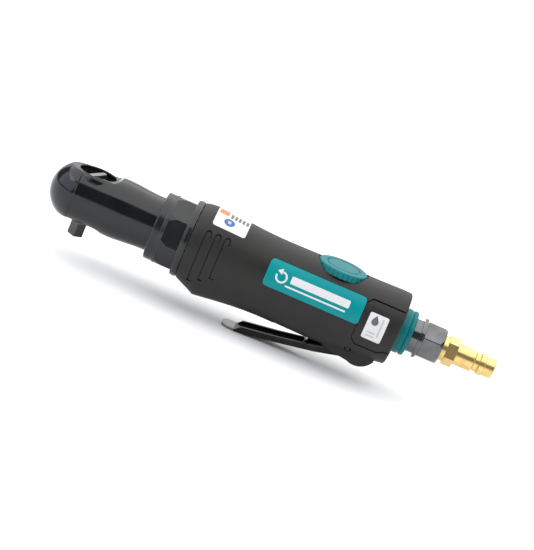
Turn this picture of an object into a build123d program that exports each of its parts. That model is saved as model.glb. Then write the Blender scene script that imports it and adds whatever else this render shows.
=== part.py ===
"""Air ratchet with a 1/4 inch square drive.

+X runs along the tool towards the air plug, +Z points away from the drive square.
The origin is the centre of the drive square's seat. Sizes are in millimetres.
"""
import os
from math import acos, cos, pi, radians, sin, sqrt, tan

from build123d import *

os.makedirs("parts", exist_ok=True)

# driving dimensions
AXIS_Z = 15.4            # height of the motor axis above the drive square's seat
DRIVE = 6.35             # side of the 1/4 inch square
DRIVE_LENGTH = 7.6
RUN = 0.05               # radial clearance of a running fit

HEAD_R = 16.4            # widest radius of the head
NOSE_TIP = -21.6
CHEEK_R = 15.8           # the sides behind the nose, set in by a small step
CHEEK_START = (-6.3, CHEEK_R)
NECK_R = 15.05           # where the head leaves the clamp nut
NECK_END = 37.4
FLANGE_X, FLANGE_R = (40.2, 44.0), 17.0      # flange that the clamp nut pulls on
HEAD_FLAT = 13.4         # half height over the head's flats
FLATS_END = 9.0
RIM_TOP = 13.55
HEAD_BORE_R = 11.2
TOP_OPENING_R = 10.1
ANVIL_NECK_R = 6.5

THROW = 1.5              # eccentric throw of the crank pin
PIN_R = 2.0
BUSH_R = 3.0
YOKE_HALF = 4.5          # half thickness of the yoke

MODULE = 0.7
PRESSURE = radians(25)
SUN_TEETH = 9
PLANET_TEETH = 15
RING_TEETH = 39
ADDENDUM = 0.8 * MODULE
DEDENDUM = 1.05 * MODULE
BACKLASH = 0.06
CENTRES = MODULE * (SUN_TEETH + PLANET_TEETH) / 2
PLANET_PIN_R = 1.8

MOTOR_R = 15.3
CYLINDER_BORE_R = 12.3
CYLINDER_OFFSET = 1.0
ROTOR_R = 11.2
VANES = 5
CYLINDER_X = (58.0, 98.0)

CORE_R = 18.2            # outside radius of the housing under the rubber
GRIP_FRONT = 58.7
GRIP_REAR = 177.9
PIVOT_X, PIVOT_Z = 157.1, -17.8      # lever pivot, Z from the motor axis
VALVE_X = 135.8
DIAL_X, DIAL_R = 138.2, 13.9
DIAL_TOP, DIAL_FLOOR = 19.8, 16.1

LEVER_PIN_R, LEVER_PIN_HALF = 1.5, 10.8
VALVE_BORE_R = 4.0

tool_axis = Axis((0, 0, AXIS_Z), (1, 0, 0))
# local x is X and local y is the height above the motor axis
PROFILE = Plane(origin=(0, 0, AXIS_Z), x_dir=(1, 0, 0), z_dir=(0, -1, 0))
PIN_AXIS = Plane(origin=(PIVOT_X, 0, AXIS_Z + PIVOT_Z), x_dir=(1, 0, 0), z_dir=(0, -1, 0))


def across(x, y=0.0, z=0.0):
    """Plane across the tool, centred y and z off the motor axis: local x is +Y, local y is +Z."""
    return Plane(origin=(x, y, AXIS_Z + z), x_dir=(0, 1, 0), z_dir=(1, 0, 0))


def level(z, x=0.0):
    """Horizontal plane at a height above the motor axis, centred at x."""
    return Plane(origin=(x, 0, AXIS_Z + z), x_dir=(1, 0, 0), z_dir=(0, 0, 1))


def save(piece, label):
    piece.part.label = label
    export_step(piece.part, f"parts/{label}.step")


def turned(label, outline):
    """Solid of revolution about the motor axis, from (x, radius) points."""
    with BuildPart() as piece:
        with BuildSketch(PROFILE):
            with BuildLine():
                Polyline(*outline, close=True)
            make_face()
        revolve(axis=tool_axis)
    save(piece, label)
    return piece


def tube(label, x0, x1, inner, outer):
    return turned(label, [(x0, inner), (x1, inner), (x1, outer), (x0, outer)])


def o_ring(label, plane, radius, cord):
    """Round-section ring lying in a plane."""
    with BuildPart() as piece:
        with BuildSketch(Plane(plane.origin, x_dir=plane.x_dir, z_dir=-plane.y_dir)):
            with Locations((radius, 0)):
                Circle(cord)
        revolve(axis=Axis(plane.origin, plane.z_dir))
    save(piece, label)


def roller_set(label, x0, x1, pitch_r, roller_r, count):
    with BuildPart() as piece:
        with BuildSketch(across(x0)):
            with PolarLocations(pitch_r, count):
                Circle(roller_r)
        extrude(amount=x1 - x0)
    save(piece, label)


def ball_set(label, x, pitch_r, ball_r, count):
    with BuildPart() as piece:
        with Locations(across(x)):
            with PolarLocations(pitch_r, count):
                Sphere(ball_r)
    save(piece, label)


def involute_outline(teeth, grow, out, into, phase):
    """Points of a gear outline whose teeth stand `out` over the pitch circle.

    grow widens each tooth by that much on the pitch circle; phase is a tooth's angle.
    """
    pitch_r = MODULE * teeth / 2
    base_r = pitch_r * cos(PRESSURE)
    tip_r, root_r = pitch_r + out, pitch_r - into
    start_r = max(base_r, root_r)
    half = pi / (2 * teeth) + grow / (2 * pitch_r) + tan(PRESSURE) - PRESSURE
    flank = []
    for step in range(5):
        radius = start_r + (tip_r - start_r) * step / 4
        angle = acos(min(1.0, base_r / radius))
        flank.append((radius, half - (tan(angle) - angle)))
    if root_r < base_r:
        flank.insert(0, (root_r, half))
    points = []
    for tooth in range(teeth):
        centre = phase + 2 * pi * tooth / teeth
        rising = [(r, centre - a) for r, a in flank]
        falling = [(r, centre + a) for r, a in reversed(flank)]
        points += [(r * cos(a), r * sin(a)) for r, a in rising + falling]
    return points


# ---------------------------------------------------------------- ratchet head
with BuildPart() as ratchet_head:
    with BuildSketch(PROFILE):
        with BuildLine():
            nose = CenterArc((NOSE_TIP + HEAD_R, 0), HEAD_R, 96, 84)
            Line(nose @ 0, CHEEK_START)
            Spline(
                CHEEK_START, (7.0, CHEEK_R), (16.5, 16.3), (26.0, 15.7), (NECK_END, NECK_R),
                tangents=[(1, 0), (1, 0)],
            )
            Polyline(
                (NECK_END, NECK_R), (FLANGE_X[0], NECK_R), (FLANGE_X[0], FLANGE_R),
                (FLANGE_X[1], FLANGE_R), (FLANGE_X[1], 0), (NOSE_TIP, 0),
            )
        make_face()
    revolve(axis=tool_axis)
    # flats above and below, running out into the round neck
    with BuildSketch(PROFILE):
        for side in (1, -1):
            with BuildLine():
                Line((-25, side * HEAD_FLAT), (FLATS_END, side * HEAD_FLAT))
                Spline((FLATS_END, side * HEAD_FLAT), (14.4, side * 17.0), tangents=[(1, 0), (1, side * 0.9)])
                Polyline((14.4, side * 17.0), (-25, side * 17.0), (-25, side * HEAD_FLAT))
            make_face()
    extrude(amount=20, both=True, mode=Mode.SUBTRACT)
    flat_sides = ratchet_head.faces().filter_by(Plane.XY).edges()
    fillet(flat_sides.filter_by(lambda edge: edge.center().X < FLATS_END), 1.2)
    # smooth lip round the opening on top
    with BuildSketch(PROFILE):
        with BuildLine():
            Polyline((0, RIM_TOP), (0, 5.0), (12.3, 5.0), (12.3, 9.6))
            ThreePointArc((12.3, 9.6), (11.8, 12.0), (10.6, RIM_TOP))
            Line((10.6, RIM_TOP), (0, RIM_TOP))
        make_face()
    revolve(axis=Axis.Z)
    # bore for the crankshaft, slot for the yoke, opening for the anvil
    with BuildSketch(across(12.0)):
        Circle(HEAD_BORE_R)
    extrude(amount=40, mode=Mode.SUBTRACT)
    with BuildSketch(level(-5.2)):
        Circle(10.6)
        with Locations((7.0, 0)):
            Rectangle(14.0, 21.2)
    extrude(amount=10.2, mode=Mode.SUBTRACT)
    with BuildSketch(PROFILE):
        with BuildLine():
            Polyline(
                (0, 0), (TOP_OPENING_R, 0), (TOP_OPENING_R, RIM_TOP - 0.35),
                (TOP_OPENING_R + 0.35, RIM_TOP), (TOP_OPENING_R + 0.35, 20), (0, 20), close=True,
            )
        make_face()
    revolve(axis=Axis.Z, mode=Mode.SUBTRACT)
    with BuildSketch(level(-20)):
        Circle(ANVIL_NECK_R + RUN)
    extrude(amount=20, mode=Mode.SUBTRACT)
    # groove that holds the retaining ring
    with BuildSketch(level(8.1)):
        Circle(10.8)
    extrude(amount=1.0, mode=Mode.SUBTRACT)
save(ratchet_head, "ratchet_head")

with BuildPart() as retaining_ring:
    with BuildSketch(level(8.15)):
        Circle(10.7)
        Circle(9.0, mode=Mode.SUBTRACT)
        with Locations((-9.8, 0)):
            Rectangle(3.0, 3.4, mode=Mode.SUBTRACT)
    extrude(amount=0.9)
save(retaining_ring, "anvil_retaining_ring")

with BuildPart() as anvil_washer:
    with BuildSketch(level(-5.2)):
        Circle(9.6)
        Circle(6.9, mode=Mode.SUBTRACT)
    extrude(amount=0.5)
save(anvil_washer, "anvil_washer")

# ---------------------------------------------------------------- anvil and pawl
PAWL_X = -4.3
POCKET_HALF = 4.0
SELECTOR_FLOOR = 9.6
BALL_Z = -4.4            # height of the square's detent ball
BALL_DIR = Vector(sqrt(0.5), sqrt(0.5), 0)
BAR_ANGLE = 70           # turn of the selector's finger bar in the pose shown
with BuildPart() as anvil:
    with BuildSketch(level(-HEAD_FLAT)):
        Circle(ANVIL_NECK_R)
    extrude(amount=HEAD_FLAT - 4.6)
    with BuildSketch(level(-4.6)):
        Circle(7.4)
    extrude(amount=9.4)
    with BuildSketch(level(4.8)):
        Circle(TOP_OPENING_R - RUN)
    extrude(amount=3.2)
    # shoulder and drive square, one corner towards each side
    with BuildSketch(Plane.XY):
        Circle(4.6)
    extrude(amount=AXIS_Z - HEAD_FLAT)
    with BuildSketch(Plane.XY):
        Rectangle(DRIVE, DRIVE, rotation=45)
        Circle(4.2, mode=Mode.INTERSECT)
    extrude(amount=-DRIVE_LENGTH)
    chamfer(anvil.faces().sort_by(Axis.Z)[0].edges(), 0.4)
    # pocket for the pawl and bore for the selector's stem
    with BuildSketch(level(-POCKET_HALF)):
        with Locations((PAWL_X - 0.6, 0)):
            Rectangle(6.4, 11.6)
    extrude(amount=2 * POCKET_HALF, mode=Mode.SUBTRACT)
    with BuildSketch(level(1.0)):
        Circle(2.0 + RUN)
    extrude(amount=8.0, mode=Mode.SUBTRACT)
    # blind bore behind the detent ball
    with BuildSketch(Plane(origin=(0, 0, BALL_Z), x_dir=(0, 0, 1), z_dir=BALL_DIR)):
        Circle(1.2 + RUN)
    extrude(amount=DRIVE, mode=Mode.SUBTRACT)
save(anvil, "anvil")

with BuildPart() as detent_ball:
    with Locations(BALL_DIR * 2.45 + Vector(0, 0, BALL_Z)):
        Sphere(1.2)
save(detent_ball, "detent_ball")

with BuildPart() as pawl:
    with BuildSketch(level(-POCKET_HALF + 0.1)):
        with BuildLine():
            Polyline(
                (PAWL_X - 1.4, 4.7), (PAWL_X - 0.7, 2.0), (PAWL_X - 1.6, 0.0),
                (PAWL_X - 0.7, -2.0), (PAWL_X - 1.4, -4.7), (PAWL_X + 0.6, -4.9),
                (PAWL_X + 1.9, 0.0), (PAWL_X + 0.6, 4.9), close=True,
            )
        make_face()
        with Locations((PAWL_X, 0)):
            Circle(0.9 + RUN, mode=Mode.SUBTRACT)
    extrude(amount=2 * POCKET_HALF - 0.2)
save(pawl, "pawl")

with BuildPart() as pawl_pin:
    with BuildSketch(level(-POCKET_HALF, PAWL_X)):
        Circle(0.9)
    extrude(amount=2 * POCKET_HALF)
save(pawl_pin, "pawl_pin")

with BuildPart() as reverse_lever:
    # round plate lying on the anvil's flange, with the finger bar across it
    with BuildSketch(level(8.0)):
        Circle(8.8)
    extrude(amount=SELECTOR_FLOOR - 8.0)
    with BuildSketch(level(4.4)):
        Circle(2.0)
    extrude(amount=3.6)
    with BuildSketch(level(SELECTOR_FLOOR)):
        SlotOverall(16.0, 3.0, rotation=BAR_ANGLE)
    extrude(amount=HEAD_FLAT - 0.5 - SELECTOR_FLOOR)
    fillet(reverse_lever.faces().sort_by(Axis.Z)[-1].edges(), 0.5)
    # round stud beside the bar
    with BuildSketch(level(SELECTOR_FLOOR, 4.9)):
        Circle(2.1)
    extrude(amount=1.4)
save(reverse_lever, "reverse_lever")

# ---------------------------------------------------------------- yoke
YOKE_TEETH = 24
YOKE_TIP_R, YOKE_ROOT_R = 7.75, 8.5
FORK_HALF, FORK_OUT, FORK_END = 6.3, 8.1, 16.9
yoke_inside = []
for tooth in range(YOKE_TEETH):
    start = 2 * pi * tooth / YOKE_TEETH
    middle = start + pi / YOKE_TEETH
    yoke_inside.append((YOKE_TIP_R * cos(start), YOKE_TIP_R * sin(start)))
    yoke_inside.append((YOKE_ROOT_R * cos(middle), YOKE_ROOT_R * sin(middle)))
with BuildPart() as yoke:
    with BuildSketch(level(-YOKE_HALF)):
        Circle(9.9)
        with Locations((FORK_END / 2, 0)):
            Rectangle(FORK_END, 2 * FORK_OUT)
        with Locations((10.1 + 5, 0)):
            Rectangle(10.0, 2 * FORK_HALF, mode=Mode.SUBTRACT)
        with BuildLine():
            Polyline(*yoke_inside, close=True)
        make_face(mode=Mode.SUBTRACT)
    extrude(amount=2 * YOKE_HALF)
save(yoke, "yoke")

# ---------------------------------------------------------------- crankshaft and its bearing
with BuildPart() as drive_bushing:
    with BuildSketch(across(12.0)):
        with Locations((0, THROW)):
            Circle(BUSH_R)
            Circle(PIN_R + RUN, mode=Mode.SUBTRACT)
    extrude(amount=5.0)
save(drive_bushing, "drive_bushing")

CARRIER_X = (41.0, 43.9)
with BuildPart() as crankshaft:
    with BuildSketch(across(12.0)):
        with Locations((0, THROW)):
            Circle(PIN_R)
    extrude(amount=6.0)
    with BuildSketch(across(17.9)):
        Circle(5.5)
    extrude(amount=CARRIER_X[0] - 17.9)
    with BuildSketch(across(CARRIER_X[0])):
        Circle(10.9)
    extrude(amount=CARRIER_X[1] - CARRIER_X[0])
    with BuildSketch(across(CARRIER_X[1] - 2.0)):
        with PolarLocations(CENTRES, 3, start_angle=90):
            Circle(PLANET_PIN_R)
    extrude(amount=2.0, mode=Mode.SUBTRACT)
save(crankshaft, "crankshaft")

with BuildPart() as planet_pins:
    with BuildSketch(across(CARRIER_X[1] - 2.0)):
        with PolarLocations(CENTRES, 3, start_angle=90):
            Circle(PLANET_PIN_R)
    extrude(amount=8.9)
save(planet_pins, "planet_pins")

tube("needle_bearing_shell", 19.5, 29.5, 8.1, HEAD_BORE_R)
roller_set("needle_rollers", 20.2, 28.8, 6.8, 1.26, 16)
tube("crank_thrust_washer", 40.0, 40.8, 5.8, HEAD_BORE_R - 0.2)

# ---------------------------------------------------------------- planetary reduction
RING_X = (44.0, 51.5)
PLANET_X = (44.3, 50.3)
with BuildPart() as ring_gear:
    with BuildSketch(across(RING_X[0])):
        Circle(16.6)
        with BuildLine():
            Polyline(*involute_outline(RING_TEETH, BACKLASH, DEDENDUM, ADDENDUM, pi / 2), close=True)
        make_face(mode=Mode.SUBTRACT)
    extrude(amount=RING_X[1] - RING_X[0])
save(ring_gear, "ring_gear")

for number, angle in enumerate((90, 210, 330), start=1):
    # each planet points one tooth straight out, into a space of the ring
    axis_y, axis_z = CENTRES * cos(radians(angle)), CENTRES * sin(radians(angle))
    with BuildPart() as planet:
        with BuildSketch(across(PLANET_X[0], axis_y, axis_z)):
            with BuildLine():
                Polyline(
                    *involute_outline(PLANET_TEETH, -BACKLASH, ADDENDUM, DEDENDUM, radians(angle)),
                    close=True,
                )
            make_face()
            Circle(PLANET_PIN_R + RUN, mode=Mode.SUBTRACT)
        extrude(amount=PLANET_X[1] - PLANET_X[0])
    save(planet, f"planet_gear_{number}")

# ---------------------------------------------------------------- clamp nut
NUT_FLAT = 18.45         # half the size across the wrench flats
NUT_FLATS = 8
NUT_TURN = 168           # where the flats stop when the nut is tight
with BuildPart() as clamp_nut:
    with BuildSketch(PROFILE):
        with BuildLine():
            Polyline(
                (38.4, 15.3), (38.4, 18.0), (38.6, 18.4), (39.1, 18.7), (42.6, 18.7), (43.1, 18.9),
                (55.6, 21.2), (56.0, 21.4), (57.7, 21.4), (58.2, 21.2), (58.4, 20.8),
                (58.4, FLANGE_R + RUN), (FLANGE_X[0], FLANGE_R + RUN), (FLANGE_X[0], 15.3), close=True,
            )
        make_face()
    revolve(axis=tool_axis)
    # wrench flats milled into the cone
    with BuildSketch(across(44.6)):
        with PolarLocations(NUT_FLAT + 3.0, NUT_FLATS, start_angle=NUT_TURN):
            Rectangle(6.0, 24.0)
    extrude(amount=10.2, mode=Mode.SUBTRACT)
save(clamp_nut, "clamp_nut")

# ---------------------------------------------------------------- air motor
FRONT_PLATE_X = (51.6, CYLINDER_X[0])
BEARING_X = (53.0, 58.0)
REAR_PLATE_X = (CYLINDER_X[1], 103.5)
REAR_BEARING_X = (99.5, 103.5)
SHAFT_R, REAR_SHAFT_R = 4.0, 3.2
CYLINDER_PIN_Z = 13.4

turned("motor_sleeve", [
    (51.6, 15.4), (CYLINDER_X[0] + 0.4, 15.4), (CYLINDER_X[0] + 0.4, 17.0), (51.6, 17.0)])
turned("front_plate", [
    (FRONT_PLATE_X[0], 4.6), (FRONT_PLATE_X[0], MOTOR_R), (FRONT_PLATE_X[1], MOTOR_R),
    (FRONT_PLATE_X[1], 9.5), (BEARING_X[0], 9.5), (BEARING_X[0], 4.6)])
tube("front_bearing_outer_race", *BEARING_X, 7.9, 9.5)
tube("front_bearing_inner_race", *BEARING_X, SHAFT_R, 5.6)
ball_set("front_bearing_balls", sum(BEARING_X) / 2, 6.75, 1.12, 9)
turned("rear_plate", [
    (REAR_PLATE_X[0], 3.7), (REAR_PLATE_X[0], MOTOR_R), (REAR_PLATE_X[1], MOTOR_R),
    (REAR_PLATE_X[1], 8.0), (REAR_BEARING_X[0], 8.0), (REAR_BEARING_X[0], 3.7)])
tube("rear_bearing_outer_race", *REAR_BEARING_X, 6.5, 8.0)
tube("rear_bearing_inner_race", *REAR_BEARING_X, REAR_SHAFT_R, 4.4)
ball_set("rear_bearing_balls", sum(REAR_BEARING_X) / 2, 5.45, 1.02, 8)

with BuildPart() as cylinder:
    with BuildSketch(across(CYLINDER_X[0])):
        Circle(MOTOR_R)
        with Locations((0, -CYLINDER_OFFSET)):
            Circle(CYLINDER_BORE_R, mode=Mode.SUBTRACT)
    extrude(amount=CYLINDER_X[1] - CYLINDER_X[0])
    # row of exhaust slots through the thin side
    with BuildSketch(level(0, sum(CYLINDER_X) / 2)):
        with GridLocations(5.0, 0, 5, 1):
            SlotOverall(9.0, 2.4, rotation=90)
    extrude(amount=-20, mode=Mode.SUBTRACT)
    # blind hole for the locating pin, on the thick side
    with BuildSketch(across(CYLINDER_X[1] - 4.0, 0, CYLINDER_PIN_Z)):
        Circle(1.0)
    extrude(amount=4.0, mode=Mode.SUBTRACT)
save(cylinder, "cylinder")

with BuildPart() as cylinder_pin:
    with BuildSketch(across(CYLINDER_X[1] - 4.0, 0, CYLINDER_PIN_Z)):
        Circle(1.0)
    extrude(amount=4.0)
save(cylinder_pin, "cylinder_pin")

SLOT_BOTTOM_R, SLOT_WIDTH, VANE_THICK = 5.4, 1.6, 1.5
with BuildPart() as rotor:
    with BuildSketch(across(CYLINDER_X[0] + 0.2)):
        Circle(ROTOR_R)
        with PolarLocations((SLOT_BOTTOM_R + 12.0) / 2, VANES, start_angle=90):
            Rectangle(12.0 - SLOT_BOTTOM_R, SLOT_WIDTH, mode=Mode.SUBTRACT)
    extrude(amount=CYLINDER_X[1] - CYLINDER_X[0] - 0.4)
    with BuildSketch(across(BEARING_X[0])):
        Circle(SHAFT_R)
    extrude(amount=CYLINDER_X[0] + 0.2 - BEARING_X[0])
    with BuildSketch(across(PLANET_X[0])):
        with BuildLine():
            Polyline(*involute_outline(SUN_TEETH, -BACKLASH, ADDENDUM, DEDENDUM, pi / 2), close=True)
        make_face()
    extrude(amount=51.2 - PLANET_X[0])
    with BuildSketch(across(51.2)):
        Circle(3.0)
    extrude(amount=BEARING_X[0] - 51.2)
    with BuildSketch(across(CYLINDER_X[1] - 0.2)):
        Circle(REAR_SHAFT_R)
    extrude(amount=REAR_BEARING_X[1] - CYLINDER_X[1] + 0.4)
save(rotor, "rotor")

with BuildPart() as vanes:
    with BuildSketch(across(CYLINDER_X[0] + 0.3)):
        with PolarLocations((SLOT_BOTTOM_R + 0.3 + ROTOR_R) / 2, VANES, start_angle=90):
            Rectangle(ROTOR_R - SLOT_BOTTOM_R - 0.3, VANE_THICK)
    extrude(amount=CYLINDER_X[1] - CYLINDER_X[0] - 0.6)
save(vanes, "vanes")

tube("motor_gasket", REAR_PLATE_X[1], REAR_PLATE_X[1] + 1.0, 9.5, MOTOR_R)

# ---------------------------------------------------------------- grip: form, housing and rubber
# cross sections of the grip's outside: x, half width, height above and depth below the axis
GRIP_NOSE = [(GRIP_FRONT, 21.2, 21.2, 21.2), (62.0, 21.2, 21.9, 22.9),
             (66.0, 21.0, 22.3, 24.7), (70.0, 20.8, 22.2, 26.8)]
GRIP_BODY = [(70.0, 20.8, 22.2, 26.8), (78.0, 20.4, 21.7, 25.8), (86.0, 20.1, 20.9, 24.8),
             (97.0, 19.8, 20.1, 23.8), (120.0, 19.7, 20.0, 23.6), (142.0, 19.8, 20.0, 23.6),
             (160.0, 19.9, 20.0, 22.2), (GRIP_REAR, 20.0, 20.05, 20.05)]
LEVER_SLOT_HALF = 7.3


def grip_form(grow):
    """The grip's outside form, made larger or smaller all round by grow."""
    with BuildPart() as form:
        for stations in (GRIP_NOSE, GRIP_BODY):
            for x, half, top, bottom in stations:
                with BuildSketch(across(x)):
                    with BuildLine():
                        EllipticalCenterArc((0, 0), half + grow, top + grow, start_angle=0, arc_size=180)
                        EllipticalCenterArc((0, 0), half + grow, bottom + grow, start_angle=180, arc_size=180)
                    make_face()
            loft()
    return form


def lever_slot(x0, x1, top):
    """Cutter for the channel under the grip that the lever folds into."""
    with BuildPart() as cutter:
        with BuildSketch(level(top, (x0 + x1) / 2)):
            Rectangle(x1 - x0, 2 * LEVER_SLOT_HALF)
        extrude(amount=-30)
    return cutter


def dial_pocket():
    with BuildPart() as cutter:
        with BuildSketch(level(DIAL_FLOOR - 0.1, DIAL_X)):
            Circle(DIAL_R + 0.3)
        extrude(amount=20)
    return cutter


FRONT_SLOT = lever_slot(116.0, 147.0, -21.4)
PIVOT_SLOT = lever_slot(146.9, 172.0, -13.6)
DIAL_POCKET = dial_pocket()
PORT_Y, PORT_R = 7.9, 1.6        # exhaust channels either side of the air passage
BOSS_R = 10.0
BOSS_END = GRIP_REAR + 7.4
SPOOL_R = 3.5

with BuildPart() as housing:
    with BuildSketch(PROFILE):
        with BuildLine():
            Polyline(
                (GRIP_FRONT, MOTOR_R + 0.05), (105.0, MOTOR_R + 0.05), (105.0, 6.0), (112.0, 6.0),
                (112.0, 0), (BOSS_END, 0), (BOSS_END, BOSS_R), (GRIP_REAR, BOSS_R),
                (GRIP_REAR, CORE_R), (GRIP_FRONT, CORE_R), close=True,
            )
        make_face()
    revolve(axis=tool_axis)
    # air passage from the inlet to the valve, and from the valve to the motor
    with BuildSketch(across(VALVE_X)):
        Circle(3.6)
    extrude(amount=60, mode=Mode.SUBTRACT)
    with BuildSketch(across(105.0)):
        Circle(3.0)
        with Locations((PORT_Y, 0), (-PORT_Y, 0)):
            Circle(PORT_R)
    extrude(amount=30, mode=Mode.SUBTRACT)
    with BuildSketch(across(130.0)):
        with Locations((PORT_Y, 0), (-PORT_Y, 0)):
            Circle(PORT_R)
    extrude(amount=GRIP_REAR + 5.0 - 130.0, mode=Mode.SUBTRACT)
    with BuildSketch(across(GRIP_REAR + 1.5)):
        Rectangle(30, 2.4)
        Rectangle(2 * PORT_Y, 2.4, mode=Mode.SUBTRACT)
    extrude(amount=3.0, mode=Mode.SUBTRACT)
    # thread bore of the inlet bushing
    with BuildSketch(across(GRIP_REAR)):
        Circle(5.7)
    extrude(amount=10, mode=Mode.SUBTRACT)
    # upright bore of the valve, closed above, and bore of the regulator's spool
    with BuildSketch(level(-30, VALVE_X)):
        Circle(VALVE_BORE_R)
    extrude(amount=34.0, mode=Mode.SUBTRACT)
    with BuildSketch(level(5.5, DIAL_X)):
        Circle(SPOOL_R + RUN)
    extrude(amount=12, mode=Mode.SUBTRACT)
    add(FRONT_SLOT.part, mode=Mode.SUBTRACT)
    add(PIVOT_SLOT.part, mode=Mode.SUBTRACT)
    add(DIAL_POCKET.part, mode=Mode.SUBTRACT)
    with BuildSketch(PIN_AXIS):
        Circle(LEVER_PIN_R)
    extrude(amount=25, both=True, mode=Mode.SUBTRACT)
save(housing, "housing")

RIBS = ((65.3, -16.6), (70.5, -13.5), (75.8, -10.2))     # x and lower end of each grip groove
RIB_TOP, RIB_BEND = 12.8, 1.5
GROOVE_WIDTH, GROOVE_DEPTH = 0.8, 0.8
BADGE_X, BADGE_Z = (102.0, 156.0), (-1.5, 12.9)
BADGE_THICK, BADGE_CORNER = 0.9, 2.0
BADGE_MIDDLE = (sum(BADGE_X) / 2, sum(BADGE_Z) / 2)
BADGE_SIZE = (BADGE_X[1] - BADGE_X[0], BADGE_Z[1] - BADGE_Z[0])
PANEL = [(182, 13.4), (159.0, 13.4), (155.9, 10.4), (155.9, -9.4), (159.0, -12.2),
         (171.4, -12.2), (174.2, -10.2), (182, -10.2)]
GROOVE_FLOOR = grip_form(-GROOVE_DEPTH)
BADGE_FLOOR = grip_form(-BADGE_THICK)

with BuildPart() as grooves:
    with BuildSketch(PROFILE):
        for x, low in RIBS:
            # each groove has a short foot and bends over at its top like a walking stick
            with BuildLine():
                foot = Polyline((x + 2.2, low), (x, low), (x, RIB_TOP - RIB_BEND))
                bend_end = (x + 2 * RIB_BEND, RIB_TOP - RIB_BEND)
                bend = ThreePointArc(foot @ 1, (x + RIB_BEND, RIB_TOP), bend_end)
                Line(bend @ 1, (x + 2 * RIB_BEND, RIB_TOP - 2.4 * RIB_BEND))
            trace(line_width=GROOVE_WIDTH)
        with BuildLine():
            FilletPolyline(*PANEL, radius=1.6)
        trace(line_width=GROOVE_WIDTH)
    extrude(amount=30, both=True)
    add(GROOVE_FLOOR.part, mode=Mode.SUBTRACT)

with BuildPart() as badge_seats:
    with BuildSketch(PROFILE):
        with Locations(BADGE_MIDDLE):
            RectangleRounded(BADGE_SIZE[0] + 0.3, BADGE_SIZE[1] + 0.3, BADGE_CORNER + 0.15)
    extrude(amount=30, both=True)
    add(BADGE_FLOOR.part, mode=Mode.SUBTRACT)

with BuildPart() as grip_sleeve:
    add(grip_form(0).part)
    rear_edges = grip_sleeve.edges().filter_by_position(Axis.X, GRIP_REAR - 0.01, GRIP_REAR + 0.01)
    fillet(rear_edges, 1.4)
    # lug under the rear end that carries the lever's pivot
    with BuildSketch(PROFILE):
        with BuildLine():
            Polyline(
                (172.4, -19.8), (172.4, -15.0), (150.0, -15.0), (143.0, -21.5), (152.0, -23.6),
                (159.0, -24.5),
            )
            ThreePointArc((159.0, -24.5), (168.6, -23.9), (172.4, -19.8))
        make_face()
    extrude(amount=9.6, both=True)
    with BuildSketch(across(GRIP_FRONT - 1)):
        Circle(CORE_R + 0.02)
    extrude(amount=130, mode=Mode.SUBTRACT)
    add(FRONT_SLOT.part, mode=Mode.SUBTRACT)
    add(PIVOT_SLOT.part, mode=Mode.SUBTRACT)
    add(DIAL_POCKET.part, mode=Mode.SUBTRACT)
    add(grooves.part, mode=Mode.SUBTRACT)
    add(badge_seats.part, mode=Mode.SUBTRACT)
    with BuildSketch(PIN_AXIS):
        Circle(LEVER_PIN_R + 0.5)
    extrude(amount=25, both=True, mode=Mode.SUBTRACT)
    with BuildSketch(level(-30, VALVE_X)):
        Circle(VALVE_BORE_R + RUN)
    extrude(amount=15, mode=Mode.SUBTRACT)
save(grip_sleeve, "grip_sleeve")

with BuildPart() as side_badges:
    with BuildSketch(PROFILE):
        with Locations(BADGE_MIDDLE):
            RectangleRounded(*BADGE_SIZE, BADGE_CORNER)
    extrude(amount=30, both=True)
    add(grip_form(0.1).part, mode=Mode.INTERSECT)
    add(grip_form(0.05 - BADGE_THICK).part, mode=Mode.SUBTRACT)
save(side_badges, "side_badges")

# ---------------------------------------------------------------- throttle lever and valve
LEVER_HALF, SHEET = 6.5, 1.3
LEVER_BOTTOM = [(98.4, -35.3), (120.0, -32.0), (141.0, -28.2), (150.0, -26.0), (160.0, -23.4)]
FLANGE_TOP = [(160.6, -17.0), (158.4, -14.7), (155.8, -14.7), (150.6, -21.8),
              (144.0, -24.4), (135.8, -25.8), (120.0, -28.7), (100.6, -31.6), (98.4, -33.9)]
TIP_X, TIP_R = 90.5, 5.0

with BuildPart() as throttle_lever:
    with BuildSketch(PROFILE):
        with BuildLine():
            Polyline(*LEVER_BOTTOM, *FLANGE_TOP, close=True)
        make_face()
    extrude(amount=LEVER_HALF, both=True)
    # hollow of the channel, open above
    with BuildSketch(PROFILE):
        with BuildLine():
            Polyline(*[(x, z + SHEET) for x, z in LEVER_BOTTOM], (164, -22), (164, -10), (96, -10),
                     (96, -34.0), close=True)
        make_face()
    extrude(amount=LEVER_HALF - SHEET, both=True, mode=Mode.SUBTRACT)
    # flat thumb tongue at the free end, with a round tip
    with BuildSketch(level(-35.3)):
        with Locations(((98.8 + TIP_X + TIP_R) / 2, 0)):
            Rectangle(98.8 - TIP_X - TIP_R, 2 * LEVER_HALF)
        with Locations((TIP_X + TIP_R, 0)):
            Rectangle(2 * TIP_R, 2 * (LEVER_HALF - TIP_R))
        with Locations((TIP_X + TIP_R, LEVER_HALF - TIP_R), (TIP_X + TIP_R, TIP_R - LEVER_HALF)):
            Circle(TIP_R)
    extrude(amount=SHEET)
    with BuildSketch(PIN_AXIS):
        Circle(LEVER_PIN_R + RUN)
    extrude(amount=20, both=True, mode=Mode.SUBTRACT)
save(throttle_lever, "throttle_lever")

with BuildPart() as lever_pin:
    with BuildSketch(PIN_AXIS):
        Circle(LEVER_PIN_R)
    extrude(amount=LEVER_PIN_HALF, both=True)
    chamfer(lever_pin.faces().filter_by(Axis.Y).edges(), 0.3)
save(lever_pin, "lever_pin")

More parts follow.
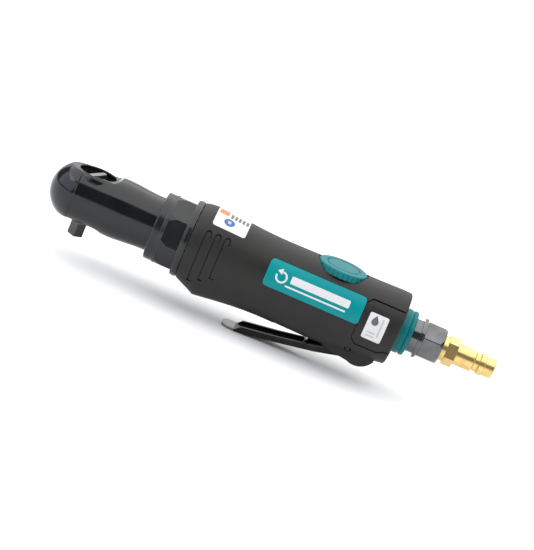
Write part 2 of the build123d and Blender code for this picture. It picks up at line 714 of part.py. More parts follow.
STEM_R = 1.5
VALVE_SEAT = -13.0
with BuildPart() as valve_bushing:
    with BuildSketch(level(-20.5, VALVE_X)):
        Circle(VALVE_BORE_R)
        Circle(STEM_R + RUN, mode=Mode.SUBTRACT)
    extrude(amount=20.5 + VALVE_SEAT - 1.0)
save(valve_bushing, "valve_bushing")

with BuildPart() as valve_stem:
    # pushed up by the lever; the head seals on its ring
    with BuildSketch(level(-27.6, VALVE_X)):
        Circle(STEM_R)
    extrude(amount=27.6 - 10.0)
    with BuildSketch(level(VALVE_SEAT + 0.55, VALVE_X)):
        Circle(3.4)
    extrude(amount=2.4)
    fillet(valve_stem.faces().sort_by(Axis.Z)[0].edges(), 0.6)
save(valve_stem, "valve_stem")

o_ring("valve_seal", level(VALVE_SEAT - 0.25, VALVE_X), 2.6, 0.7)

SPRING_LOW, SPRING_HIGH = -9.9, 3.9
SPRING_R, WIRE_R = 2.6, 0.35
with BuildPart() as valve_spring:
    with BuildLine(level(SPRING_LOW + WIRE_R, VALVE_X)):
        coil = Helix(pitch=2.1, height=SPRING_HIGH - SPRING_LOW - 2 * WIRE_R, radius=SPRING_R)
    with BuildSketch(Plane(coil @ 0, z_dir=coil % 0)):
        Circle(WIRE_R)
    sweep(is_frenet=True)
save(valve_spring, "valve_spring")

# ---------------------------------------------------------------- power regulator
SCALLOPS = 30
with BuildPart() as regulator_dial:
    with BuildSketch(level(DIAL_FLOOR, DIAL_X)):
        Circle(DIAL_R)
    extrude(amount=DIAL_TOP - DIAL_FLOOR)
    fillet(regulator_dial.faces().sort_by(Axis.Z)[-1].edges(), 1.2)
    with BuildSketch(level(DIAL_FLOOR, DIAL_X)):
        with PolarLocations(DIAL_R + 0.35, SCALLOPS):
            Circle(0.8)
    extrude(amount=DIAL_TOP - DIAL_FLOOR, mode=Mode.SUBTRACT)
    # dished thumb face
    with BuildSketch(level(DIAL_TOP - 0.5, DIAL_X)):
        Circle(9.6)
        Circle(8.8, mode=Mode.SUBTRACT)
    extrude(amount=1.0, mode=Mode.SUBTRACT)
save(regulator_dial, "regulator_dial")

with BuildPart() as regulator_spool:
    with BuildSketch(level(5.7, DIAL_X)):
        Circle(SPOOL_R)
    extrude(amount=DIAL_FLOOR - 5.7)
    with BuildSketch(across(DIAL_X - 10)):
        with Locations((0, 8.0)):
            Circle(1.4)
    extrude(amount=20, mode=Mode.SUBTRACT)
    with BuildSketch(level(11.6, DIAL_X)):
        Circle(SPOOL_R + 1)
        Circle(2.7, mode=Mode.SUBTRACT)
    extrude(amount=1.2, mode=Mode.SUBTRACT)
save(regulator_spool, "regulator_spool")
o_ring("regulator_seal", level(12.2, DIAL_X), 3.05, 0.34)

# ---------------------------------------------------------------- exhaust, inlet and air plug
with BuildPart() as exhaust_deflector:
    with BuildSketch(PROFILE):
        with BuildLine():
            Polyline(
                (178.1, 11.3), (178.1, 12.4), (181.0, 12.4), (181.6, 12.2), (181.9, 11.9), (182.3, 11.9),
                (182.6, 12.2), (183.0, 12.4), (184.0, 12.4), (184.6, 12.2), (184.9, 11.8), (185.0, 11.4),
                (185.0, BOSS_R + RUN), (183.4, BOSS_R + RUN), (183.4, 11.3), close=True,
            )
        make_face()
    revolve(axis=tool_axis)
    # outlet slots on the far side
    with BuildSketch(across(181.4)):
        with PolarLocations(12.5, 5, start_angle=-40, angular_range=80, endpoint=True):
            Rectangle(4.0, 2.4)
    extrude(amount=1.8, mode=Mode.SUBTRACT)
save(exhaust_deflector, "exhaust_deflector")

INLET_HEX_TURN, PLUG_HEX_TURN = 40, 15      # where the hexagons stop when screwed home
with BuildPart() as inlet_bushing:
    with BuildSketch(PROFILE):
        with BuildLine():
            Polyline(
                (GRIP_REAR + 0.5, 4.4), (GRIP_REAR + 0.5, 5.7), (BOSS_END, 5.7), (BOSS_END, 9.2),
                (191.6, 9.2), (191.6, 6.6), (188.6, 6.6), (188.6, 4.4), close=True,
            )
        make_face()
    revolve(axis=tool_axis)
    with BuildSketch(across(191.6)) as inlet_hex:
        RegularPolygon(19.0 / 2, 6, major_radius=False, rotation=INLET_HEX_TURN)
        fillet(inlet_hex.vertices(), 0.9)
        Circle(6.6, mode=Mode.SUBTRACT)
    extrude(amount=11.0)
    # the hexagon's corners are turned back at its rear end
    with BuildSketch(PROFILE):
        with BuildLine():
            Polyline((191.6, 10.8), (200.6, 10.8), (202.6, 9.3), (202.6, 12), (191.6, 12), close=True)
        make_face()
    revolve(axis=tool_axis, mode=Mode.SUBTRACT)
save(inlet_bushing, "inlet_bushing")

tube("inlet_ring", 189.2, 191.0, 9.2, 11.05)

with BuildPart() as inlet_screen:
    with BuildSketch(across(188.7)):
        Circle(6.5)
        with HexLocations(0.85, 5, 5):
            Circle(0.55, mode=Mode.SUBTRACT)
    extrude(amount=0.6)
save(inlet_screen, "inlet_screen")

PLUG_X = (202.7, 205.2, 210.8, 220.8, 224.4, 227.0, 232.6)
with BuildPart() as air_plug:
    with BuildSketch(PROFILE):
        with BuildLine():
            Polyline(
                (191.0, 3.2), (191.0, 6.0), (191.6, 6.55), (PLUG_X[0], 6.55), (PLUG_X[0], 6.9),
                (PLUG_X[1], 6.9), (PLUG_X[2], 6.9), (PLUG_X[2], 6.0), (PLUG_X[3], 6.0),
                (PLUG_X[3] + 0.7, 5.1), (PLUG_X[4] - 0.7, 5.1), (PLUG_X[4], 5.95), (PLUG_X[5], 5.95),
                (PLUG_X[5] + 0.3, 5.35), (PLUG_X[6] - 0.4, 5.35), (PLUG_X[6], 4.95), (PLUG_X[6], 3.2),
                close=True,
            )
        make_face()
    revolve(axis=tool_axis)
    with BuildSketch(across(PLUG_X[1])):
        RegularPolygon(14.0 / 2, 6, major_radius=False, rotation=PLUG_HEX_TURN)
        Circle(5.0, mode=Mode.SUBTRACT)
    extrude(amount=PLUG_X[2] - PLUG_X[1])
    with BuildSketch(PROFILE):
        with BuildLine():
            Polyline((PLUG_X[1], 7.3), (PLUG_X[1] + 0.6, 9), (PLUG_X[1], 9), close=True)
            Polyline((PLUG_X[2], 7.3), (PLUG_X[2] - 0.6, 9), (PLUG_X[2], 9), close=True)
        make_face()
    revolve(axis=tool_axis, mode=Mode.SUBTRACT)
save(air_plug, "air_plug")

# felt pads that quieten the exhaust, in the chamber behind the motor
tube("muffler_felt", 105.05, 111.8, 4.6, 5.9)
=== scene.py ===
"""Looks for the air ratchet: materials, labels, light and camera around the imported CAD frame."""
from math import cos, pi, radians, sin

import bmesh
import bpy
from mathutils import Matrix, Vector
from mathutils.bvhtree import BVHTree


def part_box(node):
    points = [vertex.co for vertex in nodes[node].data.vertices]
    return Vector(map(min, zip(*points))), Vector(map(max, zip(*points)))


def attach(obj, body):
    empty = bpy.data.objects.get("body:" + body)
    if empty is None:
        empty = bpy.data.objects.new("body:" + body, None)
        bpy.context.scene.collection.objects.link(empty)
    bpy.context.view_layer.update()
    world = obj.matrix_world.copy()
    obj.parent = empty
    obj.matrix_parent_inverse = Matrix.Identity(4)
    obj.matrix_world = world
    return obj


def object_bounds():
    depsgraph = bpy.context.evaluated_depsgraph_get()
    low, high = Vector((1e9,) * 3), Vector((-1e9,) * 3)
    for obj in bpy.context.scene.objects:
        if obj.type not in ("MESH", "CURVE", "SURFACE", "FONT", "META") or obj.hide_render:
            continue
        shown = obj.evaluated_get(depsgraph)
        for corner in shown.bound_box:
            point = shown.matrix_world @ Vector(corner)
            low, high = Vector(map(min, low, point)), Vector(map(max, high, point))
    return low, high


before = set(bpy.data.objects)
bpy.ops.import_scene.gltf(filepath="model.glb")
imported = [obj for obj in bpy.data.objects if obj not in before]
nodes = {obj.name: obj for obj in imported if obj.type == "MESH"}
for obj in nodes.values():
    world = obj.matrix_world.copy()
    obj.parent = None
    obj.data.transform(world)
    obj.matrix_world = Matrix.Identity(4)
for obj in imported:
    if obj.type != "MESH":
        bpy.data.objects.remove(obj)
cad_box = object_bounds()
MM = 0.001
PLUG_LOW, PLUG_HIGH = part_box("air_plug")
AXIS_Z = (PLUG_LOW.z + PLUG_HIGH.z) / 2      # height of the motor axis


# ---------------------------------------------------------------- node helpers
BEVEL_SAMPLES = 6
EDGE_START, EDGE_FULL = 0.985, 0.9      # cosine between the true and the bevelled normal


class Shader:
    """A material's node tree, with short calls for the nodes that the materials below use."""

    def __init__(self, name):
        self.material = bpy.data.materials.new(name)
        self.material.use_nodes = True
        self.tree = self.material.node_tree
        self.bsdf = self.tree.nodes["Principled BSDF"]
        self.position = self.node("ShaderNodeTexCoord").outputs["Object"]

    def node(self, kind, **values):
        made = self.tree.nodes.new(kind)
        for name, value in values.items():
            if hasattr(made, name):
                setattr(made, name, value)
            else:
                made.inputs[name.replace("_", " ")].default_value = value
        return made

    def link(self, source, target):
        self.tree.links.new(source, target)

    def scaled(self, factor):
        """Object position times a factor for each axis."""
        mapping = self.node("ShaderNodeMapping")
        mapping.inputs["Scale"].default_value = factor
        self.link(self.position, mapping.inputs["Vector"])
        return mapping.outputs["Vector"]

    def noise(self, scale, detail=3.0, roughness=0.55, vector=None):
        made = self.node("ShaderNodeTexNoise", Scale=scale, Detail=detail, Roughness=roughness)
        self.link(vector or self.position, made.inputs["Vector"])
        return made.outputs["Fac"]

    def cells(self, scale, feature="F1", vector=None):
        made = self.node("ShaderNodeTexVoronoi", Scale=scale, feature=feature)
        self.link(vector or self.position, made.inputs["Vector"])
        return made.outputs["Distance"]

    def spread(self, value, low, high, to_low=0.0, to_high=1.0):
        """Maps value from low..high to to_low..to_high."""
        made = self.node("ShaderNodeMapRange")
        for socket, number in zip(("From Min", "From Max", "To Min", "To Max"), (low, high, to_low, to_high)):
            made.inputs[socket].default_value = number
        self.link(value, made.inputs["Value"])
        return made.outputs["Result"]

    def math(self, operation, a, b=0.0):
        made = self.node("ShaderNodeMath", operation=operation)
        for socket, value in zip(made.inputs, (a, b)):
            if isinstance(value, (int, float)):
                socket.default_value = value
            else:
                self.link(value, socket)
        return made.outputs[0]

    def blend(self, amount, first, second):
        """Colour between first and second; each is a colour or a socket."""
        made = self.node("ShaderNodeMix", data_type="RGBA")
        self.link(amount, made.inputs[0])
        for socket, value in ((made.inputs[6], first), (made.inputs[7], second)):
            if isinstance(value, tuple):
                socket.default_value = (*value, 1)
            else:
                self.link(value, socket)
        return made.outputs[2]

    def edges(self, radius=0.0006):
        """1 on convex edges and corners, 0 on open faces."""
        bevel = self.node("ShaderNodeBevel", samples=BEVEL_SAMPLES)
        bevel.inputs["Radius"].default_value = radius
        flat = self.node("ShaderNodeNewGeometry").outputs["Normal"]
        dot = self.node("ShaderNodeVectorMath", operation="DOT_PRODUCT")
        self.link(bevel.outputs[0], dot.inputs[0])
        self.link(flat, dot.inputs[1])
        return self.spread(dot.outputs["Value"], EDGE_START, EDGE_FULL)

    def bump(self, height, distance, strength=1.0, soft_edge=0.0003):
        made = self.node("ShaderNodeBump", Strength=strength, Distance=distance)
        self.link(height, made.inputs["Height"])
        if soft_edge:
            bevel = self.node("ShaderNodeBevel", samples=BEVEL_SAMPLES)
            bevel.inputs["Radius"].default_value = soft_edge
            self.link(bevel.outputs[0], made.inputs["Normal"])
        self.link(made.outputs["Normal"], self.bsdf.inputs["Normal"])

    def set(self, **values):
        for name, value in values.items():
            socket = self.bsdf.inputs[name.replace("_", " ")]
            if isinstance(value, tuple):
                socket.default_value = (*value, 1)
            elif isinstance(value, (int, float)):
                socket.default_value = value
            else:
                self.link(value, socket)
        return self.material


# ---------------------------------------------------------------- materials
def finish_nodes(material, *names):
    for name in names:
        slots = nodes[name].data.materials
        slots.clear()
        slots.append(material)


def black_gloss():
    """Glossy black coating on the head: faint orange peel, dust-fine scratches, and a thin painted highlight along
    the edges.
    """
    s = Shader("black_gloss_coating")
    peel = s.noise(380, 2.0)
    cloud = s.noise(60, 4.0)
    edge = s.edges(0.0005)
    colour = s.blend(s.spread(cloud, 0.35, 0.7), (0.003, 0.0034, 0.0042), (0.0055, 0.006, 0.0075))
    # painted highlight: convex edges lighter, for the thin light that the head's edges catch
    colour = s.blend(s.math("MULTIPLY", edge, 0.4), colour, (0.03, 0.033, 0.037))
    s.bump(peel, 0.00004, 0.25, 0.0005)
    return s.set(Base_Color=colour, Metallic=0.0, IOR=1.5, Roughness=s.spread(cloud, 0.3, 0.75, 0.1, 0.17),
                 Specular_IOR_Level=0.45)


def black_satin():
    """Satin black on the clamp nut, made lighter along its edges as a painted highlight."""
    s = Shader("black_satin_coating")
    cloud = s.noise(90, 4.0)
    grain = s.noise(1800, 2.0)
    edge = s.edges(0.0006)
    colour = s.blend(s.spread(cloud, 0.3, 0.75), (0.006, 0.0065, 0.0075), (0.011, 0.0115, 0.0125))
    # painted highlight: convex edges lighter, for the light that rounded edges catch
    colour = s.blend(s.math("MULTIPLY", edge, 0.7), colour, (0.07, 0.072, 0.076))
    s.bump(grain, 0.00003, 0.25, 0.0004)
    return s.set(Base_Color=colour, Metallic=0.0, IOR=1.5, Roughness=s.spread(cloud, 0.3, 0.75, 0.17, 0.27),
                 Specular_IOR_Level=0.45)


def grip_rubber():
    """Soft-touch rubber: very fine leathery grain and a slightly dusty bloom."""
    s = Shader("grip_rubber")
    grain = s.cells(1500)
    pores = s.noise(3200, 2.0)
    cloud = s.noise(35, 5.0)
    edge = s.edges(0.0008)
    colour = s.blend(s.spread(cloud, 0.3, 0.75), (0.0085, 0.0079, 0.007), (0.0135, 0.0127, 0.011))
    # painted highlight: convex edges lighter, for the soft sheen along the grip's edges
    colour = s.blend(s.math("MULTIPLY", edge, 0.35), colour, (0.035, 0.035, 0.032))
    height = s.math("ADD", s.math("MULTIPLY", grain, 0.7), s.math("MULTIPLY", pores, 0.5))
    s.bump(height, 0.00006, 0.45, 0.0004)
    return s.set(Base_Color=colour, Roughness=s.spread(cloud, 0.3, 0.75, 0.46, 0.6), Sheen_Weight=0.04,
                 Sheen_Roughness=0.5, Specular_IOR_Level=0.33)


def moulded(name, dark, light, roughness=(0.34, 0.46), grain_depth=0.00003, gloss=0.4):
    """Injection-moulded plastic with a spark-eroded texture."""
    s = Shader(name)
    cloud = s.noise(80, 4.0)
    grain = s.noise(2400, 2.0)
    edge = s.edges(0.0004)
    colour = s.blend(s.spread(cloud, 0.3, 0.75), dark, light)
    # painted highlight: convex edges lighter, for the light that moulded edges catch
    painted_edge_highlight = tuple(min(1.0, channel * 1.5 + 0.02) for channel in light)
    colour = s.blend(s.math("MULTIPLY", edge, 0.5), colour, painted_edge_highlight)
    s.bump(grain, grain_depth, 0.4, 0.0003)
    return s.set(Base_Color=colour, Roughness=s.spread(cloud, 0.3, 0.75, *roughness),
                 Specular_IOR_Level=gloss)


def steel(name, dark, light, roughness=(0.25, 0.42), axis=(1, 1, 1), wear=(0.5, 0.5, 0.5)):
    """Machined steel: fine tool marks, stretched along the axes given small factors, with brighter edges."""
    s = Shader(name)
    cloud = s.noise(150, 4.0)
    marks = s.noise(3600, 3.0, 0.6, s.scaled(axis))
    edge = s.edges(0.0004)
    colour = s.blend(s.spread(cloud, 0.3, 0.75), dark, light)
    colour = s.blend(s.math("MULTIPLY", edge, 0.6), colour, wear)
    s.bump(marks, 0.00002, 0.25, 0.00025)
    return s.set(Base_Color=colour, Metallic=1.0, Roughness=s.spread(marks, 0.3, 0.7, *roughness))


def lever_sheet():
    """Black-oxide sheet steel; the thumb tongue at its free end is painted light grey as a painted highlight for
    its lit top face, and the edges carry a painted highlight.
    """
    s = Shader("lever_sheet_steel")
    cloud = s.noise(160, 4.0)
    marks = s.noise(2600, 3.0, 0.6, s.scaled((0.08, 1, 1)))
    along = s.node("ShaderNodeSeparateXYZ")
    s.link(s.position, along.inputs[0])
    # painted highlight: the thumb tongue at the free end, with a ragged border, painted light grey for its lit top
    # face
    ragged = s.math("ADD", along.outputs["X"], s.math("MULTIPLY", cloud, 0.0015))
    painted_tongue_highlight = s.spread(ragged, 0.0988, 0.0982)
    colour = s.blend(s.spread(cloud, 0.3, 0.75), (0.02, 0.0195, 0.0185), (0.034, 0.033, 0.031))
    # painted highlight: convex edges lighter, for the sheen on the lever's edges
    colour = s.blend(s.math("MULTIPLY", s.edges(0.0005), 0.6), colour, (0.16, 0.16, 0.155))
    colour = s.blend(s.math("MULTIPLY", painted_tongue_highlight, 0.8), colour, (0.27, 0.27, 0.265))
    s.bump(marks, 0.00002, 0.25, 0.0003)
    return s.set(Base_Color=colour, Metallic=1.0, Roughness=s.spread(marks, 0.3, 0.7, 0.28, 0.42))


def brass():
    """Turned brass: rings of fine tool marks, warm tarnish in patches, and convex edges darkened as a painted
    reflection.
    """
    s = Shader("turned_brass")
    cloud = s.noise(220, 4.0)
    rings = s.noise(4200, 2.0, 0.5, s.scaled((1, 0.03, 0.03)))
    edge = s.edges(0.0003)
    colour = s.blend(s.spread(cloud, 0.35, 0.75), (0.74, 0.55, 0.24), (0.62, 0.43, 0.15))
    # painted reflection: convex edges darker gold, for the dark lines that the surroundings reflect along polished
    # edges
    colour = s.blend(s.math("MULTIPLY", edge, 0.6), colour, (0.42, 0.27, 0.09))
    s.bump(rings, 0.00003, 0.3, 0.0002)
    return s.set(Base_Color=colour, Metallic=1.0, Roughness=s.spread(cloud, 0.3, 0.8, 0.27, 0.36))


def bore_dark():
    s = Shader("oiled_inner_steel")
    film = s.noise(300, 4.0)
    s.bump(film, 0.00003, 0.3, 0.0)
    colour = s.blend(s.spread(film, 0.3, 0.75), (0.05, 0.05, 0.052), (0.09, 0.088, 0.085))
    return s.set(Base_Color=colour, Metallic=1.0, Roughness=s.spread(film, 0.3, 0.7, 0.25, 0.45))


def fibre(name, dark, light, scale):
    s = Shader(name)
    strands = s.noise(scale, 5.0, 0.7)
    s.bump(strands, 0.0001, 0.6, 0.0)
    return s.set(Base_Color=s.blend(s.spread(strands, 0.3, 0.7), dark, light), Roughness=0.9)


TEAL_DARK, TEAL_LIGHT = (0.0, 0.135, 0.145), (0.0, 0.175, 0.185)
finish_nodes(black_gloss(), "ratchet_head")
finish_nodes(black_satin(), "clamp_nut")
finish_nodes(grip_rubber(), "grip_sleeve")
finish_nodes(moulded("housing_composite", (0.014, 0.014, 0.015), (0.022, 0.022, 0.023)), "housing")
finish_nodes(moulded("teal_moulding", TEAL_DARK, TEAL_LIGHT, gloss=0.2),
             "regulator_dial", "exhaust_deflector")
finish_nodes(moulded("teal_badge_plate", (0.0, 0.22, 0.235), (0.0, 0.245, 0.26), (0.34, 0.42), 0.00001, 0.2),
             "side_badges")
finish_nodes(steel("drive_steel", (0.05, 0.05, 0.046), (0.085, 0.083, 0.076), axis=(1, 1, 0.1),
                   wear=(0.25, 0.25, 0.23)),
             "anvil")
finish_nodes(lever_sheet(), "throttle_lever")
finish_nodes(steel("selector_steel", (0.22, 0.225, 0.23), (0.34, 0.345, 0.35), axis=(0.2, 1, 1),
                   wear=(0.7, 0.7, 0.7)), "reverse_lever")
finish_nodes(steel("gunmetal", (0.10, 0.104, 0.104), (0.15, 0.154, 0.154), (0.12, 0.2), (1, 0.05, 0.05),
                   (0.35, 0.36, 0.36)),
             "inlet_bushing", "inlet_ring")
finish_nodes(steel("ground_steel", (0.5, 0.5, 0.51), (0.62, 0.62, 0.63), (0.12, 0.25), (1, 0.05, 0.05),
                   (0.8, 0.8, 0.8)),
             "valve_stem", "detent_ball", "needle_bearing_shell", "needle_rollers", "front_bearing_balls",
             "front_bearing_inner_race", "front_bearing_outer_race", "rear_bearing_balls",
             "rear_bearing_inner_race", "rear_bearing_outer_race", "valve_spring", "anvil_washer",
             "crank_thrust_washer", "inlet_screen")
finish_nodes(steel("cast_metal", (0.42, 0.42, 0.42), (0.52, 0.52, 0.52), (0.35, 0.5)),
             "front_plate", "rear_plate", "cylinder", "motor_sleeve")
finish_nodes(bore_dark(), "yoke", "pawl", "pawl_pin", "crankshaft", "planet_pins", "drive_bushing",
             "ring_gear", "planet_gear_1", "planet_gear_2", "planet_gear_3", "rotor", "cylinder_pin",
             "anvil_retaining_ring")
finish_nodes(moulded("black_oxide_pin", (0.004, 0.004, 0.004), (0.008, 0.008, 0.008), (0.4, 0.55)),
             "lever_pin")
finish_nodes(brass(), "air_plug", "valve_bushing", "regulator_spool")
finish_nodes(moulded("nitrile", (0.008, 0.008, 0.008), (0.016, 0.016, 0.016), (0.5, 0.65)),
             "valve_seal", "regulator_seal", "motor_gasket")
finish_nodes(fibre("felt", (0.4, 0.38, 0.33), (0.62, 0.6, 0.54), 900), "muffler_felt")
finish_nodes(fibre("vane_fibre", (0.2, 0.12, 0.06), (0.34, 0.22, 0.12), 700), "vanes")


# ---------------------------------------------------------------- printed labels
CORNER_STEPS = 4        # straight steps in a round corner
DISC_STEPS = 32
CUT_ROUND = 0.9         # mm between cuts round the axis, so that a film follows the curve
CUT_ALONG = 2.0         # mm between cuts along the axis
RAY_START = 0.04        # m from the axis, outside everything


def print_ink(name, dark, light, roughness=0.4):
    """Printed film: slightly mottled colour, fine gloss variation."""
    s = Shader(name)
    mottle = s.noise(900, 3.0)
    s.bump(s.noise(2600, 2.0), 0.00001, 0.2, 0.0)
    return s.set(Base_Color=s.blend(s.spread(mottle, 0.3, 0.7), dark, light),
                 Roughness=s.spread(mottle, 0.3, 0.7, roughness - 0.06, roughness + 0.06))


WHITE = print_ink("white_film", (0.60, 0.605, 0.61), (0.68, 0.68, 0.68))
GREY_INK = print_ink("grey_ink", (0.09, 0.09, 0.1), (0.13, 0.13, 0.14))
PALE_INK = print_ink("pale_ink", (0.4, 0.4, 0.41), (0.48, 0.48, 0.49))
ORANGE_INK = print_ink("orange_ink", (0.62, 0.15, 0.035), (0.7, 0.19, 0.05))
BLUE_INK = print_ink("blue_ink", (0.012, 0.09, 0.27), (0.02, 0.12, 0.33))


def rounded(x, v, width, height, radius):
    """Rectangle with round corners, centred at x, v."""
    points = []
    for quarter, (sx, sv) in enumerate(((1, 1), (-1, 1), (-1, -1), (1, -1))):
        for step in range(CORNER_STEPS + 1):
            angle = (quarter + step / CORNER_STEPS) * pi / 2
            points.append((x + sx * (width / 2 - radius) + radius * cos(angle),
                           v + sv * (height / 2 - radius) + radius * sin(angle)))
    return points


def disc(x, v, width, height):
    turns = [2 * pi * i / DISC_STEPS for i in range(DISC_STEPS)]
    return [(x + width / 2 * cos(turn), v + height / 2 * sin(turn)) for turn in turns]


def arc_band(x, v, inner, outer, start, sweep, count=22):
    """Quads that make part of a ring, angles in degrees."""
    quads = []
    for i in range(count):
        a, b = (radians(start + sweep * (i + k) / count) for k in (0, 1))
        quads.append([(x + inner * cos(a), v + inner * sin(a)), (x + outer * cos(a), v + outer * sin(a)),
                      (x + outer * cos(b), v + outer * sin(b)), (x + inner * cos(b), v + inner * sin(b))])
    return quads


def surface_tree(node):
    thing = nodes[node]
    mesh = thing.data
    world = thing.matrix_world
    return BVHTree.FromPolygons([world @ v.co for v in mesh.vertices],
                                [tuple(p.vertices) for p in mesh.polygons])


def wrapped(name, tree, outlines, side, base_angle, radius, low, high, material):
    """Closed thin film on a curved surface.

    Outlines are in mm: x along the tool and v round the motor axis from base_angle, on the -Y side
    for side -1. The film reaches from low to high, in mm, over the surface that the rays find.
    """
    bm = bmesh.new()
    for outline in outlines:
        bm.faces.new([bm.verts.new((x, v, 0)) for x, v in outline])
    bmesh.ops.remove_doubles(bm, verts=bm.verts, dist=1e-5)
    for axis, step in ((1, CUT_ROUND), (0, CUT_ALONG)):
        values = [vert.co[axis] for vert in bm.verts]
        line = min(values) + step
        while line < max(values) - 0.05:
            place, normal = [0, 0, 0], [0, 0, 0]
            place[axis], normal[axis] = line, 1
            bmesh.ops.bisect_plane(bm, geom=bm.verts[:] + bm.edges[:] + bm.faces[:], plane_co=place,
                                   plane_no=normal, dist=1e-6)
            line += step
    bmesh.ops.triangulate(bm, faces=bm.faces)
    for vert in bm.verts:
        angle = radians(base_angle) + vert.co.y / radius
        outward = Vector((0, side * cos(angle), sin(angle)))
        middle = Vector((vert.co.x * MM, 0, AXIS_Z))
        hit = tree.ray_cast(middle + outward * RAY_START, -outward)[0]
        vert.co = hit + outward * high * MM
    bmesh.ops.recalc_face_normals(bm, faces=bm.faces)
    lower = bmesh.ops.extrude_face_region(bm, geom=bm.faces[:])["geom"]
    for vert in (item for item in lower if isinstance(item, bmesh.types.BMVert)):
        outward = Vector((0, vert.co.y, vert.co.z - AXIS_Z)).normalized()
        vert.co -= outward * (high - low) * MM
    bmesh.ops.recalc_face_normals(bm, faces=bm.faces)
    mesh = bpy.data.meshes.new(name)
    bm.to_mesh(mesh)
    bm.free()
    mesh.materials.append(material)
    film = bpy.data.objects.new(name, mesh)
    bpy.context.scene.collection.objects.link(film)
    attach(film, "tool_body")
    return film


badge_tree, sleeve_tree = surface_tree("side_badges"), surface_tree("grip_sleeve")
BADGE_RADIUS = 19.8
BADGE_ENDS = 258.0      # sum of the badge's two end positions along the tool
ARROW_X = 110.2


def badge_x(x, side):
    """Position along the tool that reads the right way round on each side."""
    return x if side < 0 else BADGE_ENDS - x


for side, end in ((-1, "near"), (1, "far")):
    # a turning arrow and plain bars
    centre = badge_x(ARROW_X, side)
    arrow = arc_band(centre, 5.9, 2.3, 3.3, 90, side * 285)
    tip_x = badge_x(ARROW_X - 0.3, side)
    tip = [(tip_x, 5.9 + 4.5), (tip_x, 5.9 + 1.1), (badge_x(ARROW_X - 3.0, side), 5.9 + 2.8)]
    wrapped(f"badge_arrow_{end}", badge_tree, arrow + [tip], side, 0, BADGE_RADIUS, -0.03, 0.05, WHITE)
    bars = [rounded(badge_x(132.0, side), 6.6, 33.0, 4.2, 0.7), rounded(badge_x(130.5, side), 2.4, 34.0, 0.9, 0.3)]
    wrapped(f"badge_bars_{end}", badge_tree, bars, side, 0, BADGE_RADIUS, -0.03, 0.05, WHITE)

# white label with coloured patches near the grip's front
LABEL_ANGLE, LABEL_RADIUS = 48.5, 21.8
wrapped("front_label", sleeve_tree, [rounded(75.4, 9.4, 18.6, 18.8, 1.4)], -1, LABEL_ANGLE, LABEL_RADIUS,
        -0.05, 0.06, WHITE)
wrapped("front_label_orange", sleeve_tree, [rounded(69.8, 12.6, 5.4, 5.4, 0.4)], -1,
        LABEL_ANGLE, LABEL_RADIUS, 0.02, 0.09, ORANGE_INK)
wrapped("front_label_grey", sleeve_tree,
        [rounded(74.4 + 2.2 * i, 11.4, 1.5, 4.6, 0.3) for i in range(5)], -1, LABEL_ANGLE, LABEL_RADIUS,
        0.02, 0.09, GREY_INK)
wrapped("front_label_blue", sleeve_tree, [disc(74.2, 5.4, 6.0, 5.2)], -1, LABEL_ANGLE, LABEL_RADIUS,
        0.02, 0.09, BLUE_INK)
wrapped("front_label_mark", sleeve_tree, [rounded(74.2, 5.4, 1.8, 2.0, 0.4)], -1, LABEL_ANGLE, LABEL_RADIUS,
        0.05, 0.12, PALE_INK)

# small label by the lever's pivot: a drop and plain lines
wrapped("oil_label", sleeve_tree, [rounded(165.3, 0.75, 10.6, 14.6, 1.0)], -1, 0, BADGE_RADIUS,
        -0.05, 0.06, WHITE)
drop = [(164.0 + 1.9 * cos(radians(a)), 3.6 + 1.9 * sin(radians(a))) for a in range(-220, 41, 13)]
wrapped("oil_label_drop", sleeve_tree, [drop + [(164.0, 7.2)]], -1, 0, BADGE_RADIUS, 0.02, 0.09, GREY_INK)
wrapped("oil_label_lines", sleeve_tree,
        [rounded(167.9, 1.4, 0.9, 10.0, 0.3), rounded(164.2, -2.4, 4.6, 0.8, 0.3),
         rounded(164.2, -4.3, 4.6, 0.8, 0.3)],
        -1, 0, BADGE_RADIUS, 0.02, 0.09, PALE_INK)

# ---------------------------------------------------------------- camera, light and floor
VIEW_AZIMUTH, VIEW_ELEVATION, VIEW_ROLL = radians(-0.14), radians(15.19), radians(23.27)
VIEW_DISTANCE = 1.0
PICTURE = (534, 550)
PIXELS_PER_METRE = 1888.0
LOOK_AT = Vector((0.1028, 0.0, 0.01406))

forward = Vector((sin(VIEW_AZIMUTH) * cos(VIEW_ELEVATION), cos(VIEW_AZIMUTH) * cos(VIEW_ELEVATION),
                  -sin(VIEW_ELEVATION)))
right = Vector((cos(VIEW_AZIMUTH), -sin(VIEW_AZIMUTH), 0))
up = right.cross(forward)
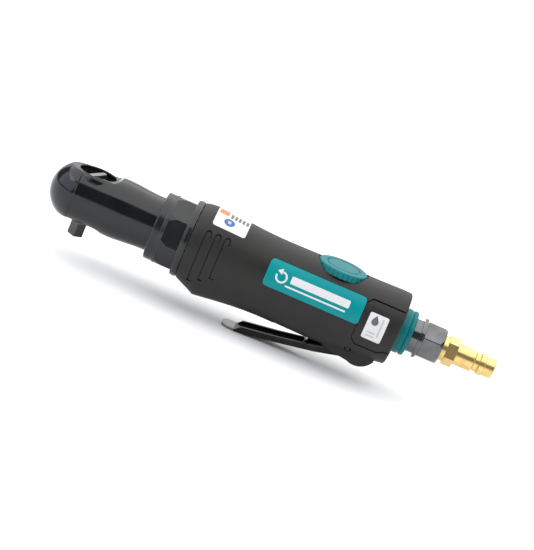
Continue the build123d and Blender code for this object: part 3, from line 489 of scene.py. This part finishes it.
# the picture turns clockwise, so the camera turns anticlockwise
rolled_right = right * cos(VIEW_ROLL) + up * sin(VIEW_ROLL)
rolled_up = up * cos(VIEW_ROLL) - right * sin(VIEW_ROLL)
camera_data = bpy.data.cameras.new("camera")
camera_data.sensor_fit = "AUTO"
camera_data.lens = camera_data.sensor_width * PIXELS_PER_METRE * VIEW_DISTANCE / max(PICTURE)
camera_data.clip_start = 0.05
camera_data.clip_end = 50
camera = bpy.data.objects.new("camera", camera_data)
bpy.context.scene.collection.objects.link(camera)
turn = Matrix((rolled_right, rolled_up, -forward)).transposed()
camera.matrix_world = Matrix.Translation(LOOK_AT - forward * VIEW_DISTANCE) @ turn.to_4x4()
bpy.context.scene.camera = camera


def area_light(name, place, aim, size, power, colour=(1, 1, 1)):
    data = bpy.data.lights.new(name, "AREA")
    data.shape = "RECTANGLE"
    data.size, data.size_y = size
    data.energy = power
    data.color = colour
    lamp = bpy.data.objects.new(name, data)
    bpy.context.scene.collection.objects.link(lamp)
    lamp.location = place
    lamp.rotation_euler = (Vector(aim) - Vector(place)).to_track_quat("-Z", "Y").to_euler()
    return lamp


MIDDLE = (0.1, 0, 0.015)
area_light("ceiling_softbox", (0.1, 0.8, 3.0), (0.1, 0.8, 0.0), (8.0, 7.0), 380)
area_light("nose_softbox", (-1.45, -0.75, 0.72), MIDDLE, (2.7, 1.3), 19, (0.78, 0.85, 1.0))
area_light("back_softbox", (0.1, 2.6, 0.95), MIDDLE, (5.0, 1.6), 24)
area_light("tail_softbox", (1.8, -0.8, 0.45), MIDDLE, (1.0, 0.8), 5)

world = bpy.data.worlds.new("studio")
bpy.context.scene.world = world
world.use_nodes = True
background = world.node_tree.nodes["Background"]
background.inputs["Color"].default_value = (0.95, 0.97, 1, 1)
background.inputs["Strength"].default_value = 0.18
bpy.context.scene.view_settings.view_transform = "Standard"

FLOOR_HALF = 4.0
floor_mesh = bpy.data.meshes.new("floor")
floor_z = cad_box[0][2]
corners = ((-1, -1), (1, -1), (1, 1), (-1, 1))
floor_mesh.from_pydata([(sx * FLOOR_HALF, sy * FLOOR_HALF, floor_z) for sx, sy in corners], [], [(0, 1, 2, 3)])
floor = bpy.data.objects.new("floor", floor_mesh)
bpy.context.scene.collection.objects.link(floor)
paper = Shader("pale_paper")
fibres = paper.noise(700, 3.0)
paper.bump(fibres, 0.00004, 0.2, 0.0)
floor_mesh.materials.append(paper.set(
    Base_Color=paper.blend(fibres, (0.86, 0.86, 0.86), (0.9, 0.9, 0.9)), Roughness=0.85))
